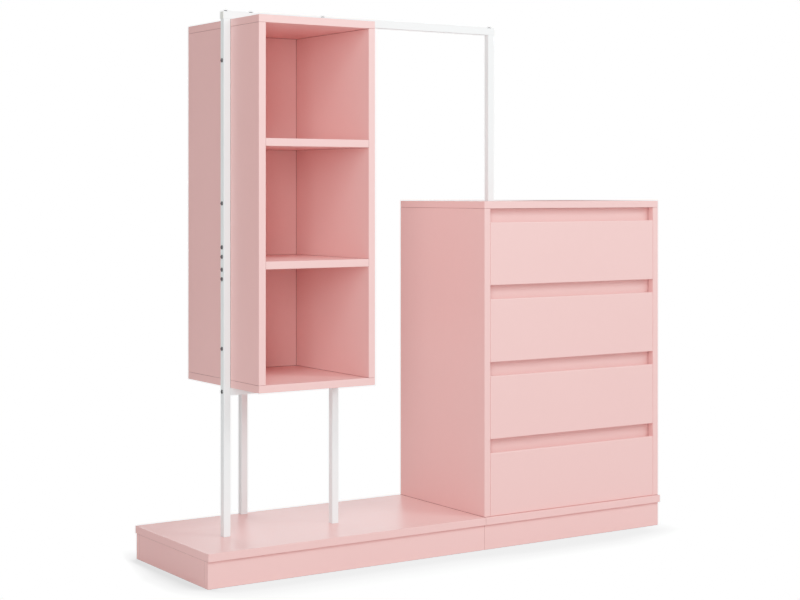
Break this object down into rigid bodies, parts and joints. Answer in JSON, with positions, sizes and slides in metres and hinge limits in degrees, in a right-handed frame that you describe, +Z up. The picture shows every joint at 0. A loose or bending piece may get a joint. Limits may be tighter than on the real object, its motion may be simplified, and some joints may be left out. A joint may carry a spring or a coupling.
{
  "type": "open wardrobe",
  "caption": "Open wardrobe on a plinth platform: a chest of sliding drawers, a raised open shelf box and a square-tube frame with a hanging bar.",
  "frame": {"origin": "on the floor, in the middle of the base boards' outline", "axes": "+X along the platform to the viewer's right, from the shelf box to the drawers, +Y to the back, +Z up"},
  "size_m": [1.504, 0.438, 1.473],
  "materials": {
    "painted_panel": "satin powder-pink paint on fibreboard",
    "frame_tube": "satin white powder coat",
    "hardboard": "matt lacquered hardboard",
    "runner_steel": "cream epoxy coat",
    "fixing_steel": "zinc-plated screw heads",
    "cap_plastic": "moulded grey tube caps",
    "roller_nylon": "moulded white nylon rollers"
  },
  "bodies": {
    "carcass": {"plinth_front_left": "painted_panel", "plinth_back_left": "painted_panel", "plinth_front_right": "painted_panel", "plinth_back_right": "painted_panel", "plinth_end_left": "painted_panel", "plinth_divider": "painted_panel", "plinth_end_right": "painted_panel", "base_board_left": "painted_panel", "base_board_right": "painted_panel", "cabinet_side_left": "painted_panel", "cabinet_side_right": "painted_panel", "cabinet_top": "painted_panel", "cabinet_back": "hardboard", "grip_rail_1": "painted_panel", "grip_rail_2": "painted_panel", "grip_rail_3": "painted_panel", "grip_rail_4": "painted_panel", "shelf_box_bottom": "painted_panel", "shelf_box_top": "painted_panel", "shelf_box_side_left": "painted_panel", "shelf_box_side_right": "painted_panel", "shelf_box_back": "painted_panel", "shelf_1": "painted_panel", "shelf_2": "painted_panel", "front_post_lower": "frame_tube", "front_post_upper": "frame_tube", "rear_post": "frame_tube", "short_post": "frame_tube", "right_post": "frame_tube", "top_bar": "frame_tube", "lower_rail": "frame_tube", "post_splice": "runner_steel", "cabinet_runner_1_left": "runner_steel", "cabinet_runner_1_right": "runner_steel", "cabinet_runner_2_left": "runner_steel", "cabinet_runner_2_right": "runner_steel", "cabinet_runner_3_left": "runner_steel", "cabinet_runner_3_right": "runner_steel", "cabinet_runner_4_left": "runner_steel", "cabinet_runner_4_right": "runner_steel"},
    "drawer_1": {"drawer_1_front": "painted_panel", "drawer_1_wrap": "painted_panel", "drawer_1_bottom": "hardboard", "drawer_runner_1_left": "runner_steel", "drawer_runner_1_right": "runner_steel"},
    "drawer_2": {"drawer_2_front": "painted_panel", "drawer_2_wrap": "painted_panel", "drawer_2_bottom": "hardboard", "drawer_runner_2_left": "runner_steel", "drawer_runner_2_right": "runner_steel"},
    "drawer_3": {"drawer_3_front": "painted_panel", "drawer_3_wrap": "painted_panel", "drawer_3_bottom": "hardboard", "drawer_runner_3_left": "runner_steel", "drawer_runner_3_right": "runner_steel"},
    "drawer_4": {"drawer_4_front": "painted_panel", "drawer_4_wrap": "painted_panel", "drawer_4_bottom": "hardboard", "drawer_runner_4_left": "runner_steel", "drawer_runner_4_right": "runner_steel"}
  },
  "joints": [
    {"name": "drawer_1_slide", "type": "slide", "parent": "carcass", "child": "drawer_1", "axis": [0, -1, 0], "range_m": [0, 0.26]},
    {"name": "drawer_2_slide", "type": "slide", "parent": "carcass", "child": "drawer_2", "axis": [0, -1, 0], "range_m": [0, 0.26]},
    {"name": "drawer_3_slide", "type": "slide", "parent": "carcass", "child": "drawer_3", "axis": [0, -1, 0], "range_m": [0, 0.26]},
    {"name": "drawer_4_slide", "type": "slide", "parent": "carcass", "child": "drawer_4", "axis": [0, -1, 0], "range_m": [0, 0.26]}
  ]
}
